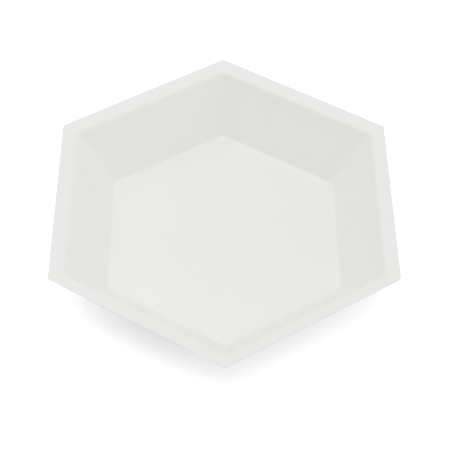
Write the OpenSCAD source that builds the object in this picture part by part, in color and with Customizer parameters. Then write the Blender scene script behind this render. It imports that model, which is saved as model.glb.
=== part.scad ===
// Hexagonal weighing boat, moulded as one thin sheet: a flat floor, six flat walls that lean out,
// and a narrow lip that rises a little towards its cut edge.
// Millimetres, +Z up. The origin is under the middle of the floor, and two corners lie on the Y axis.

/* [Tray] */
// Width of the floor inside, between opposite walls
floor_width = 92; // [30:0.5:150]
// How far each wall leans out between the floor and the lip
wall_run = 14.7; // [6:0.1:40]
// Height of each wall between the floor and the lip
wall_rise = 22.1; // [10:0.1:60]

/* [Lip] */
// Width of the lip, seen from above
lip_run = 5.4; // [3:0.1:15]
// How much higher the lip's cut edge is than its foot
lip_rise = 2; // [0:0.1:4]

/* [Sheet] */
// Thickness of the moulded sheet
sheet = 0.4; // [0.2:0.05:1.2]

/* [Rounding] */
// Radius of the bend between floor and wall, on the inside
floor_bend = 2.6; // [0.5:0.1:5]
// Radius of the bend between wall and lip, on the underside
lip_bend = 2.2; // [0.5:0.1:3]
// Radius, seen from above, of the corners where two walls meet
wall_corner = 2.5; // [0.5:0.1:6]
// Radius, seen from above, of the lip's six points
lip_corner = 1.3; // [0.5:0.1:10]

/* [Fineness] */
// Flat strips that make up each bend
bend_strips = 6; // [3:1:10]
// Flat strips that make up each rounded corner
corner_strips = 4; // [2:1:8]

/* [Hidden] */

sides = 6;
half_turn = 180 / sides;        // from the middle of a wall to the corner beside it
trim = 1;                       // how far the two lofts run on past the lip's edge

// The section is drawn square to a wall: x is the distance from the centre line, y is the height.
// These are the corners of the sheet's upper surface before they are bent round.
floor_edge = [floor_width / 2, sheet];
lip_foot = floor_edge + [wall_run, wall_rise];
lip_edge = lip_foot + [lip_run, lip_rise];
wall_angle = atan2(wall_rise, wall_run);
lip_angle = atan2(lip_rise, lip_run);

// Along the section, and square to it from the upper surface towards the underside.
function along(angle) = [cos(angle), sin(angle)];
function down(angle) = [sin(angle), -cos(angle)];

// The arc that rounds one corner of the section, as [point, angle] pairs on the upper surface.
// radius belongs to the hollow side of the bend. The other side turns about the same centre.
function bend(corner, from, to, radius) =
    let (
        turn = to > from ? 1 : -1,
        upper_radius = turn > 0 ? radius : radius + sheet,
        start = corner - upper_radius * tan(abs(to - from) / 2) * along(from),
        centre = start - turn * upper_radius * down(from)
    )
    [for (i = [0 : bend_strips])
        let (angle = from + (to - from) * i / bend_strips)
        [centre + turn * upper_radius * down(angle), angle]];

bends = concat(
    bend(floor_edge, 0, wall_angle, floor_bend),
    bend(lip_foot, wall_angle, lip_angle, lip_bend)
);

// One level of a loft: a hexagon with rounded corners that lies on the given point of the section.
function ring(section_point, corner) =
    [for (k = [0 : sides - 1]) for (j = [0 : corner_strips])
        let (
            to_corner = half_turn * (2 * k + 1),
            facing = to_corner + half_turn * (2 * j / corner_strips - 1),
            arc_centre = (section_point.x - corner) / cos(half_turn) * along(to_corner),
            plan = arc_centre + corner * along(facing)
        )
        [plan.x, plan.y, section_point.y]];

// The space over the sheet, from the floor up into clear air.
inside = concat(
    [for (b = bends) ring(b[0], wall_corner)],
    [ring(lip_edge, lip_corner),
     ring(lip_edge + trim * [1, tan(lip_angle)], lip_corner + trim),
     ring(lip_edge + trim * [1, tan(lip_angle) + 2], lip_corner + trim)]
);

// The same section one sheet thickness lower, filled, with the lip cut off straight.
outside = concat(
    [for (b = bends) ring(b[0] + sheet * down(b[1]), wall_corner + sheet * sin(b[1]))],
    [ring(lip_edge - [0, sheet / cos(lip_angle)], lip_corner),
     ring(lip_edge + [0, trim], lip_corner)]
);

// Joins rings of equally many points, lowest first, into a closed solid.
module loft(rings) {
    n = len(rings[0]);
    last = len(rings) - 1;
    polyhedron(
        points = [for (r = rings) each r],
        faces = concat(
            [[for (j = [0 : n - 1]) j]],
            [for (i = [0 : last - 1]) for (j = [0 : n - 1])
                let (next = (j + 1) % n)
                [i * n + j, (i + 1) * n + j, (i + 1) * n + next, i * n + next]],
            [[for (j = [n - 1 : -1 : 0]) last * n + j]]
        )
    );
}

module weighing_boat() {
    color("white")
        difference() {
            loft(outside);
            loft(inside);
        }
}

weighing_boat();
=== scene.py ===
# %% [markdown]
# # A hexagonal weighing boat
#
# A weighing boat is a shallow throw-away tray for weighing powders and liquids. This one is a
# single sheet of white polystyrene: a flat six-sided floor, six walls that lean out, and a narrow
# lip that rises a little towards its cut edge. There is nothing to assemble, so the whole lesson
# is about one thin surface, its bends, and how a white plastic sheet looks on a white table.
#
# The packed CAD part is loaded first. It fixes the outer size, and nothing below moves or scales
# it. The other sizes are the same ones that the part was made with.

# %% Load the packed part
import math

import bpy
import numpy as np
from mathutils import Matrix, Vector


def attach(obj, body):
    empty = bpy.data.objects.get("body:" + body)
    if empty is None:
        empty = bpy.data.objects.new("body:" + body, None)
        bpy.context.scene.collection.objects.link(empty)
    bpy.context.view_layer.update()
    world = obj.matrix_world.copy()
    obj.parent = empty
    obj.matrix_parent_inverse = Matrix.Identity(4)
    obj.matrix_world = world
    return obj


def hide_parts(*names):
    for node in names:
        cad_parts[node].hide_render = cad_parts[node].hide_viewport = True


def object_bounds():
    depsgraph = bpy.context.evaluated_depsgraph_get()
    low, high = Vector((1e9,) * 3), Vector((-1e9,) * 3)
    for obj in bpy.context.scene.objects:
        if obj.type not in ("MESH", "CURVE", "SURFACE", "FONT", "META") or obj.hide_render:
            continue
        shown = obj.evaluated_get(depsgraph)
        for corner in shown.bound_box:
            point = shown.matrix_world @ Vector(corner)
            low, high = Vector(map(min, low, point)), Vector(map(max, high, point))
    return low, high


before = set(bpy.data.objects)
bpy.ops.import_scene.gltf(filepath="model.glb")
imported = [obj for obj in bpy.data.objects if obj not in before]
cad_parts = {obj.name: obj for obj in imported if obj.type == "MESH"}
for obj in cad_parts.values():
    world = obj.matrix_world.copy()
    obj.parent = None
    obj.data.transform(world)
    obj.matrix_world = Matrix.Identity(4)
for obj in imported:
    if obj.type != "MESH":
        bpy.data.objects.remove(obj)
cad_low, cad_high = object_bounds()
print("CAD box in mm:", [round(1000 * side, 2) for side in cad_high - cad_low])

# %% [markdown]
# ## The outline of the sheet
#
# Cut the boat square to one wall, and the cut shows the sheet as a long thin outline: out along
# the floor, up the wall, out along the lip, round the cut edge, and back underneath. It could be
# typed in as a list of points, but then no size could be changed. Here it is a handful of sharp
# corners and the radius that rounds each of them, and a function fills in the arcs.

# %% Sizes of the section, in metres
floor_width = 0.092       # inside, between opposite walls
wall_run = 0.0147         # how far each wall leans out
wall_rise = 0.0221        # from the floor up to the foot of the lip
sheet = 0.0004            # thickness

floor_edge = np.array([floor_width / 2, sheet])
lip_foot = floor_edge + [wall_run, wall_rise]
lip_edge = np.array([cad_high.x, cad_high.z])
wall_slope = math.atan2(wall_rise, wall_run)
lip_slope = math.atan2(lip_edge[1] - lip_foot[1], lip_edge[0] - lip_foot[0])
print(f"walls slope {math.degrees(wall_slope):.1f} and the lip {math.degrees(lip_slope):.1f} degrees")

# %% [markdown]
# ## Rounding a corner
#
# The sheet was pressed into its mould while it was soft, so it bends round every edge and is
# never folded sharp. A Bevel modifier could round the edges of a plain tray, but the hollow side
# and the round side of one bend need radii that differ by exactly the sheet's thickness, or the
# sheet gets thinner where it turns. So each arc is worked out from its own centre.


# %% Two directions and an arc
def directions(before, corner, after):
    """Unit vectors along the two stretches that meet at a corner: difference over its length."""
    arrive, leave = corner - before, after - corner
    return arrive / np.linalg.norm(arrive), leave / np.linalg.norm(leave)


def arc(before, corner, after, radius, steps):
    """The arc that rounds a corner.

    It starts radius * tan(turn / 2) before the corner, its centre lies one radius to the hollow
    side, and a point is centre + radius * (arrive * sin(a) - hollow * cos(a)) for a from 0 to turn.
    """
    arrive, leave = directions(before, corner, after)
    turn = math.atan2(arrive[0] * leave[1] - arrive[1] * leave[0], arrive @ leave)
    hollow = np.sign(turn) * np.array([-arrive[1], arrive[0]])
    centre = corner - arrive * radius * math.tan(abs(turn) / 2) + hollow * radius
    a = abs(turn) * np.linspace(0, 1, steps + 1)[:, None]
    return centre + radius * (arrive * np.sin(a) - hollow * np.cos(a))


trial = arc(np.array([-1.0, 0.0]), np.array([0.0, 0.0]), np.array([0.0, 1.0]), 0.5, 2)
print("a square corner, rounded by half its arms:", trial.round(2).tolist())

# %% [markdown]
# ## The underside
#
# A moulded sheet is equally thick nearly everywhere, so its underside is the upper outline moved
# square to itself by one thickness. Blender's Solidify modifier does this for a whole mesh. Doing
# it on the corners instead costs one short formula, and leaves room for a proper cut edge, whose
# two arrises are rounded like the real ones are when the punch leaves them.


# %% The corners, going out on top and back underneath
def one_sheet_below(before, corner, after):
    """The same corner on the underside.

    Both stretches move down by the sheet's thickness, square to themselves, so their crossing
    moves square to the middle direction by thickness / cos(half the turn).
    """
    arrive, leave = directions(before, corner, after)
    middle = (arrive + leave) / np.linalg.norm(arrive + leave)
    return corner + sheet * np.array([middle[1], -middle[0]]) / (middle @ arrive)


floor_middle = np.array([0.0, sheet])
base_middle = np.array([0.0, 0.0])
under_floor_edge = one_sheet_below(floor_middle, floor_edge, lip_foot)
under_lip_foot = one_sheet_below(floor_edge, lip_foot, lip_edge)
under_lip_edge = lip_edge - [0, sheet / math.cos(lip_slope)]
print("underside of the lip's foot, in mm:", (1000 * under_lip_foot).round(2).tolist())

# %% The whole outline, with its radii
floor_bend = 0.0026       # radius on the inside
lip_bend = 0.0022         # radius on the underside
edge_round = 0.00012      # both arrises of the cut edge
wall_corner = 0.0025      # radius seen from above, where two walls meet
lip_corner = 0.0013       # radius seen from above, at the lip's points
underside_extra = sheet * math.sin(wall_slope)   # how much wider a wall's underside turns
bend_steps = 12
edge_steps = 4

outline_corners = [   # point, radius of the bend, radius seen from above, steps in the bend
    (floor_middle, None, 0.0, 0),
    (floor_edge, floor_bend, wall_corner, bend_steps),
    (lip_foot, lip_bend + sheet, wall_corner, bend_steps),
    (lip_edge, edge_round, lip_corner, edge_steps),
    (under_lip_edge, edge_round, lip_corner, edge_steps),
    (under_lip_foot, lip_bend, wall_corner + underside_extra, bend_steps),
    (under_floor_edge, floor_bend + sheet, wall_corner + underside_extra / 2, bend_steps),
    (base_middle, None, 0.0, 0),
]
print("corners of the outline:", len(outline_corners), "from", floor_middle, "to", base_middle)

# %% [markdown]
# ## One run of points
#
# Between two bends the sheet is straight, and two points would be enough to draw it. A few more
# are put in, crowded towards the bends, for the sake of shading: Blender mixes the directions in
# which neighbouring faces look, and short faces beside a bend keep that mixing close to it.


# %% Joining the arcs with straight stretches
straight_steps = 10


def spread(steps):
    """Shares of a straight stretch, closer together at its ends: (1 - cos(pi * t)) / 2."""
    return (1 - np.cos(np.pi * np.arange(1, steps) / steps)) / 2


def whole_outline(corners):
    """Arcs and the straights between them in one run, with each point's corner radius.

    A straight's point is start + share * (end - start), and its radius seen from above is
    mixed from the two corners in the same way.
    """
    points, plan_radius = [corners[0][0][None]], [[0.0]]
    for i in range(1, len(corners)):
        spot, radius, seen_from_above, steps = corners[i]
        last = i == len(corners) - 1
        run = spot[None] if last else arc(corners[i - 1][0], spot, corners[i + 1][0], radius, steps)
        share = spread(straight_steps)
        start, start_radius = points[-1][-1], plan_radius[-1][-1]
        points += [start + share[:, None] * (run[0] - start), run]
        plan_radius += [start_radius + share * (seen_from_above - start_radius),
                        np.full(len(run), seen_from_above)]
    return np.concatenate(points), np.concatenate(plan_radius)


outline, plan_radius = whole_outline(outline_corners)
print("outline:", len(outline), "points, widest", round(1000 * outline[:, 0].max(), 2), "mm")

# %% [markdown]
# ## Carrying the outline round the boat
#
# Spinning this outline would give a round dish. A weighing boat is hexagonal, with small radii
# where the walls meet, so each level is a hexagon grown by a circle. Growing keeps the walls
# flat and every corner smooth, which a bevel on a finished six-sided mesh wouldn't do where
# three bends meet. The whole sheet then comes from one formula on a grid, as arrays.

# %% The rounded hexagon, seen from above
sides = 6
corner_steps = 8
wall_steps = 12


def unit(angle):
    """Points on a circle of radius one: (cos, sin) of the angle."""
    return np.stack([np.cos(angle), np.sin(angle)], axis=-1)


def round_the_boat():
    """Hexagon point and facing for every column of the grid, anticlockwise.

    At a corner the hexagon point stays and the facing turns from one wall's to the next.
    Along a wall the facing stays and the point moves straight from corner to corner.
    The hexagon is one unit from its middle to a wall, so its corners are at 1 / cos(30 degrees).
    """
    half_turn = np.pi / sides
    to_corner = half_turn * (2 * np.arange(sides)[:, None] + 1)
    turning = half_turn * np.linspace(-1, 1, corner_steps + 1)
    share = np.concatenate([np.zeros(corner_steps + 1), spread(wall_steps)])
    facing = np.concatenate([turning, np.full(wall_steps - 1, half_turn)])
    here, following = unit(to_corner), unit(to_corner + 2 * half_turn)
    hexagon = (here + share[:, None] * (following - here)) / np.cos(half_turn)
    return hexagon.reshape(-1, 2), unit(to_corner + facing).reshape(-1, 2)


hexagon, facing = round_the_boat()
print("columns round the boat:", len(hexagon))

# %% [markdown]
# ## Every point of the sheet
#
# Each level of the outline becomes one ring of the grid. Its hexagon is made smaller by the
# corner radius and then pushed out again by that radius along the facings, which is what growing
# by a circle means. Lofting through hand-drawn hexagons could do the same, but then every level
# would need a drawing of its own. The floor's middle and the base's middle close the two open
# ends with fans of triangles, so the sheet is watertight and could be printed as it is.


# %% The surface
def sheet_points(outline, plan_radius):
    """Every point of the sheet but its two middles, as one array of rings by columns.

    A point is (half width - radius) * hexagon + radius * facing, at its own height.
    """
    half_width, height = outline[1:-1, 0, None, None], outline[1:-1, 1, None, None]
    radius = plan_radius[1:-1, None, None]
    flat = (half_width - radius) * hexagon + radius * facing
    return np.concatenate([flat, np.broadcast_to(height, flat.shape[:2] + (1,))], axis=2)


grid = sheet_points(outline, plan_radius)
rings, columns = grid.shape[:2]
vertices = np.concatenate([grid.reshape(-1, 3), [[0, 0, sheet], [0, 0, 0]]])
print(len(vertices), "vertices,", rings, "rings of", columns)


# %% The faces between them
def grid_faces(rings, columns):
    """Four corners of each cell: (i, j), (i + 1, j), (i + 1, j + 1), (i, j + 1), closed round."""
    number = np.arange(rings * columns).reshape(rings, columns)
    turned = np.roll(number, -1, axis=1)
    return np.stack([number[:-1], number[1:], turned[1:], turned[:-1]], axis=-1).reshape(-1, 4)


def fan(middle, ring):
    """Triangles from a middle point to each pair of neighbours on a ring."""
    return np.stack([np.full(len(ring), middle), ring, np.roll(ring, -1)], axis=1)


first_ring = np.arange(columns)
last_ring = first_ring + (rings - 1) * columns
fans = np.concatenate([fan(rings * columns, first_ring), fan(rings * columns + 1, last_ring[::-1])])
faces = grid_faces(rings, columns).tolist() + fans.tolist()
print(len(faces), "faces")

# %% [markdown]
# ## Into Blender
#
# The arrays become a mesh, and the mesh an object that stands at the origin, unturned and
# unscaled. A primitive could be scaled to size instead, but its bends would be scaled with it.
# The object takes the place of the CAD part's plain solid, which stays for collisions. It also
# rides on the boat's only body.

# %% Into a mesh
boat_mesh = bpy.data.meshes.new("boat_sheet")
boat_mesh.from_pydata(vertices.tolist(), [], faces)
boat_mesh.shade_smooth()
boat = bpy.data.objects.new("boat_sheet", boat_mesh)
bpy.context.scene.collection.objects.link(boat)
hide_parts("weighing_boat")
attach(boat, "root")
print("mesh:", len(boat_mesh.vertices), "vertices and", len(boat_mesh.polygons), "faces")

# %% [markdown]
# ## Where the sheet was stretched, and where light is painted
#
# Soft plastic doesn't reach the mould evenly. A clamp holds the lip, so that the lip isn't
# stretched at all. The floor is stretched a little. The walls are drawn out most, and show faint
# lines up their slope. The colour also carries painted light: the walls are painted paler and the
# floor a little paler, while the lip keeps the duller colour, as painted shade. A texture painted
# on the finished mesh could show that, but the grid already knows it: how steeply the outline runs
# at each point, and which column the point belongs to. These are stored with the vertices.

# %% How far each point was drawn out
# painted light: the floor's share of the paler colour
floor_painted_light = 0.3       # where a wall has 1
step_out, step_up = np.gradient(outline, axis=0).T
steepness = np.abs(step_up) / np.hypot(step_out, step_up)
clamped = outline[:, 0] > lip_foot[0]
drawn = np.where(clamped, 0.0, steepness)
# painted light: walls get the paler colour, the floor a little, the lip none, so it stays duller as
# painted shade
painted_light_share = np.where(clamped, 0.0, floor_painted_light + (1 - floor_painted_light) * steepness)
walked = np.concatenate([[0], np.cumsum(np.hypot(*np.diff(outline, axis=0).T))])
print("the outline is", round(1000 * walked[-1]), "mm long, and", int(clamped.sum()),
      "of its points are in the clamp")


# %% Values that ride on the vertices
def over_the_sheet(along_outline):
    """Gives each point's value to its whole ring, and the outline's two ends to the two middles."""
    return np.append(np.repeat(along_outline[1:-1], columns), along_outline[[0, -1]])


def give(mesh, name, kind, key, values):
    """Stores values per vertex under a name that a material can read."""
    mesh.attributes.new(name, kind, "POINT").data.foreach_set(key, values.astype(np.float32).ravel())


column_place = np.empty((rings, columns, 3))
column_place[:, :, :2] = hexagon
column_place[:, :, 2] = walked[1:-1, None]
both_middles = [[0, 0, 0], [0, 0, walked[-1]]]
give(boat_mesh, "drawn", "FLOAT", "value", over_the_sheet(drawn))
give(boat_mesh, "painted_light_share", "FLOAT", "value", over_the_sheet(painted_light_share))
give(boat_mesh, "column_place", "FLOAT_VECTOR", "vector",
     np.concatenate([column_place.reshape(-1, 3), both_middles]))
print("values on the vertices:", *[name for name in boat_mesh.attributes.keys() if name[0] != "."])

# %% [markdown]
# ## Shader maths in plain Python
#
# A procedural finish is arithmetic on noise. Its nodes could be added and linked one at a time,
# but a short sum would then fill a page. So the class below wraps one socket, and an expression
# such as 0.4 + 0.1 * grain makes its own Math nodes. Every other node comes from a single method
# that sets its settings first and its sockets after.


# %% One socket, with operators
class Value:
    """A node's output that can be added, subtracted and multiplied."""

    def __init__(self, shader, socket):
        self.shader, self.socket = shader, socket

    def _math(self, operation, first, second):
        return self.shader.node("ShaderNodeMath", {"operation": operation}, {0: first, 1: second})

    def __add__(self, other):
        return self._math("ADD", self, other)

    __radd__ = __add__

    def __sub__(self, other):
        return self._math("SUBTRACT", self, other)

    def __rsub__(self, other):
        return self._math("SUBTRACT", other, self)

    def __mul__(self, other):
        return self._math("MULTIPLY", self, other)

    __rmul__ = __mul__


print("operators:", *[name for name in vars(Value) if name.endswith(("add__", "sub__", "mul__"))])


# %% One method for every node
class Shader:
    """An empty node tree, to be filled node by node."""

    def __init__(self, owner):
        owner.use_nodes = True
        self.tree = owner.node_tree
        self.tree.nodes.clear()

    def node(self, kind, settings=None, sockets=None, output=None):
        """Adds a node, sets its settings, fills its sockets, and gives the named or first output."""
        made = self.tree.nodes.new(kind)
        for name, value in (settings or {}).items():
            setattr(made, name, value)
        for name, value in (sockets or {}).items():
            socket = made.inputs[name] if isinstance(name, int) else next(
                s for s in made.inputs if s.enabled and s.name == name)
            if isinstance(value, Value):
                self.tree.links.new(value.socket, socket)
            else:
                socket.default_value = value
        fitting = [s for s in made.outputs if s.enabled and output in (None, s.name)]
        return Value(self, fitting[0] if fitting else None)


print("every node:", Shader.node.__doc__)

# %% [markdown]
# ## White polystyrene sheet
#
# The real sheet is white all through, a little warm, and slightly milky: some light enters it,
# spreads for a fraction of a millimetre and comes out again. Its finish is satin, because the
# mould was blasted to a fine grain and the sheet has taken it on. One flat colour would look like
# paper, and an image texture would blur close up and show its edges. Noise does neither. Here the
# colour drifts in soft patches. It also carries painted light: the walls are painted paler and the
# floor a little paler, and the lip keeps the duller colour, as painted shade. Gloss and bump carry
# the grain and the faint draw lines up the walls. Subsurface scattering gives the milkiness.


# %% Three textures of the sheet
patches_per_metre = 30.0
grains_per_metre = 4000.0
lines_per_half_width = 30.0
noise_middle = 0.5        # a noise runs from 0 to 1 and is as often above this as below


def cloudiness(shader, place):
    """Soft patches, from 0 to 1."""
    return shader.node("ShaderNodeTexNoise", {}, {"Vector": place, "Scale": patches_per_metre})


def mould_grain(shader, place):
    """The fine grain of the mould, from 0 to 1."""
    return shader.node("ShaderNodeTexNoise", {}, {"Vector": place, "Scale": grains_per_metre})


def draw_lines(shader, column_place):
    """Lines that run up the walls, from 0 to 1: noise that hardly changes along a column."""
    return shader.node("ShaderNodeTexNoise", {},
                       {"Vector": column_place, "Scale": lines_per_half_width})


print("patches, in mm:", round(1000 / patches_per_metre))
print("grain, in mm:", round(1000 / grains_per_metre, 2))
print("lines, in mm apart:", round(1000 * floor_width / 2 / lines_per_half_width, 1))

# %% Colours, gloss and depths
dull_white = (0.839, 0.839, 0.823, 1)
clean_white = (0.859, 0.859, 0.843, 1)
# painted light: the paler colour that the walls, and a little the floor, are painted with; the lip
# keeps the duller one as painted shade
painted_light_white = (0.9, 0.9, 0.888, 1)
painted_light_amount = 0.65          # how far a wall goes towards the whitened colour
satin = 0.45              # roughness: 0 is a mirror, 1 is chalk
grain_gloss = 0.1         # how much the grain changes the roughness
line_gloss = 0.08         # and how much the draw lines do
grain_depth = 0.0000015   # metres
line_depth = 0.000070     # metres
metre = 1.0               # the bump's unit, so that both depths stay in metres
refraction = 1.59         # polystyrene bends light more than most plastics
milkiness = 0.15          # share of the light that goes into the sheet before it comes back
milky_reach = 0.001       # metres that this light travels inside, alike for red, green and blue
print("bump, in micrometres:", round(1e6 * grain_depth, 1), "of grain,",
      round(1e6 * line_depth, 1), "of lines")


# %% The finish
def white_polystyrene():
    """Milky white with a satin grain, walls painted paler as painted light, faint draw lines."""
    material = bpy.data.materials.new("white_polystyrene")
    shader = Shader(material)
    place = shader.node("ShaderNodeTexCoord", output="Object")
    column_place = shader.node("ShaderNodeAttribute", {"attribute_name": "column_place"},
                               output="Vector")
    drawn = shader.node("ShaderNodeAttribute", {"attribute_name": "drawn"}, output="Fac")
    painted_light_share = shader.node("ShaderNodeAttribute", {"attribute_name": "painted_light_share"}, output="Fac")
    grain = mould_grain(shader, place)
    lines = drawn * (draw_lines(shader, column_place) - noise_middle)

    sheet_white = shader.node("ShaderNodeMix", {"data_type": "RGBA"}, {
        "Factor": cloudiness(shader, place), "A": dull_white, "B": clean_white})
    # painted light: walls mixed towards the paler colour, the floor a little, the lip not at all
    colour = shader.node("ShaderNodeMix", {"data_type": "RGBA"}, {
        "Factor": painted_light_amount * painted_light_share, "A": sheet_white, "B": painted_light_white})
    bump = shader.node("ShaderNodeBump", {}, {
        "Height": grain_depth * grain + line_depth * lines, "Distance": metre})
    surface = shader.node("ShaderNodeBsdfPrincipled", {}, {
        "Base Color": colour,
        "Roughness": satin + grain_gloss * (grain - noise_middle) + line_gloss * lines,
        "Normal": bump, "IOR": refraction, "Subsurface Weight": milkiness,
        "Subsurface Radius": (1, 1, 1), "Subsurface Scale": milky_reach})
    shader.node("ShaderNodeOutputMaterial", {}, {"Surface": surface})
    return material


boat_mesh.materials.append(white_polystyrene())
print("nodes in the finish:", len(boat_mesh.materials[0].node_tree.nodes))

# %% [markdown]
# ## Table
#
# The boat stands on a plain white table, on which only its own soft shadow shows. More light would
# turn any pale table white, but it would bleach the boat too. So the light stays plain, and the
# table gets two colours. An ordinary pale one throws light back at the boat. A brighter one is for
# rays from the camera, and for gloss or glass that would show the table. The shadow stays in both.


# %% Which rays show the background
def seen_directly(shader):
    """1 for a ray from the camera, from a gloss or through glass, and 0 for one that only lights.

    Each kind is added as seen + (1 - seen) * kind, so that the sum never passes 1.
    """
    seen = shader.node("ShaderNodeLightPath", output="Is Camera Ray")
    kinds = seen.socket.node.outputs
    for name in ("Is Glossy Ray", "Is Transmission Ray"):
        seen = seen + (1 - seen) * Value(shader, kinds[name])
    return seen


print("seen directly:", seen_directly.__doc__.splitlines()[0])

# %% Table
table_size = 20.0
table_depth = -0.0001     # just under the boat
lit_table = (0.8, 0.8, 0.8, 1)
shown_table = (1.45, 1.45, 1.45, 1)


def white_table():
    """Pale diffuse table that a camera sees as white, apart from the boat's shadow on it."""
    material = bpy.data.materials.new("white_table")
    shader = Shader(material)
    colour = shader.node("ShaderNodeMix", {"data_type": "RGBA"},
                         {"Factor": seen_directly(shader), "A": lit_table, "B": shown_table})
    pale = shader.node("ShaderNodeBsdfDiffuse", {}, {"Color": colour})
    shader.node("ShaderNodeOutputMaterial", {}, {"Surface": pale})
    return material


table_corners = table_size / 2 * np.array([(-1, -1, 0), (1, -1, 0), (1, 1, 0), (-1, 1, 0)])
table_mesh = bpy.data.meshes.new("table")
table_mesh.from_pydata((table_corners + [0, 0, table_depth]).tolist(), [], [(0, 1, 2, 3)])
table_mesh.materials.append(white_table())
table = bpy.data.objects.new("table", table_mesh)
bpy.context.scene.collection.objects.link(table)
print("table:", table_size, "m wide,", -1000 * table_depth, "mm under the boat's base")

# %% [markdown]
# ## Room light
#
# A white object is hard to light, because its shape shows only in small steps of tone. Most of
# the light here comes from all round, as in a tent of white cloth, so that no wall falls into
# shadow. A ring of area lamps could do that, but an evenly white world does it with no lamp to
# place. It gives the boat about two thirds of its light, which leaves room for the lamps, and
# like the table it shows itself as plain white.

# %% World
world = bpy.data.worlds.new("studio")
bpy.context.scene.world = world
room = Shader(world)
room_level = 0.630
strength = room_level + (1 - room_level) * seen_directly(room)
background = room.node("ShaderNodeBackground", {}, {"Color": (1, 1, 1, 1), "Strength": strength})
room.node("ShaderNodeOutputWorld", {}, {"Surface": background})
print("room light:", room_level, "of white")

# %% [markdown]
# ## Lamps
#
# Even light alone would leave all six walls alike, so three broad lamps tell them apart. One hangs
# overhead and lifts the floor and the lip. One stands behind on the left, lights the near walls
# from inside, and lays the soft shadow to the front. The third stands low on the right, for the
# left wall. The two far walls get the least from them and stay darkest, which shows the depth.
# Area lamps could serve as softboxes, but would have to be moved for a boat of another size. Sun
# lamps light every boat alike, and a sun's apparent width is what softens its shadow.

# %% Lamps
lamp_settings = [   # name, strength, apparent width, height above the table, compass turn from +X
    ("overhead", 0.595, 50, 90, 0),
    ("behind", 0.28, 35, 52, 145),
    ("right", 0.32, 60, 28, 0),
]
for name, strength, width, height, turn in lamp_settings:
    lamp = bpy.data.lights.new(name, "SUN")
    lamp.energy = strength
    lamp.angle = math.radians(width)
    lamp_object = bpy.data.objects.new(name, lamp)
    lamp_object.rotation_euler = (0, math.radians(90 - height), math.radians(turn))
    bpy.context.scene.collection.objects.link(lamp_object)
print("lamps:", ", ".join(row[0] for row in lamp_settings))

# %% [markdown]
# ## Camera
#
# The camera looks down into the boat from the front, at a little over 50 degrees, and stands
# near enough for the near side to look wider than the far one. A Track To constraint could aim
# it, but it has to be a little off centre and a little tilted, as a hand-held one is. So it gets
# directions of its own: right, up and back. They are turned about the boat's upright axis, a
# small roll tips the picture, and the camera stands straight back from what it aims at.

# %% Camera
camera_elevation = math.radians(53.15)
camera_turn = math.radians(-1.12)
camera_roll = math.radians(-1.02)
camera_distance = 0.4629
aim_right = 0.00049       # from the middle of the rim
aim_up = -0.01051

right = Vector((1, 0, 0))
up = Vector((0, math.sin(camera_elevation), math.cos(camera_elevation)))
back = right.cross(up)
spin = Matrix.Rotation(camera_turn, 3, "Z")
rim_middle = Vector((0, 0, cad_high.z))
stand = rim_middle + spin @ (aim_right * right + aim_up * up + camera_distance * back)
rolled_right = math.cos(camera_roll) * right - math.sin(camera_roll) * up
rolled_up = math.sin(camera_roll) * right + math.cos(camera_roll) * up
axes = Matrix((spin @ rolled_right, spin @ rolled_up, spin @ back)).transposed()
print("camera stands at, in mm:", [round(1000 * x) for x in stand])

# %% Lens
camera = bpy.data.cameras.new("camera")
camera.lens = 94.28
camera.sensor_width = 36.0
camera.clip_start = 0.01
camera_object = bpy.data.objects.new("camera", camera)
camera_object.matrix_world = Matrix.Translation(stand) @ axes.to_4x4()
bpy.context.scene.collection.objects.link(camera_object)
bpy.context.scene.camera = camera_object
bpy.context.scene.view_settings.view_transform = "Standard"   # a colour comes out as written
print("lens:", round(camera.lens, 2), "mm on", camera.sensor_width, "mm")

# %% [markdown] ## Size The finished boat has to be as big as the CAD part. Only the rounded
# arrises of the lip may make it a hair lower.
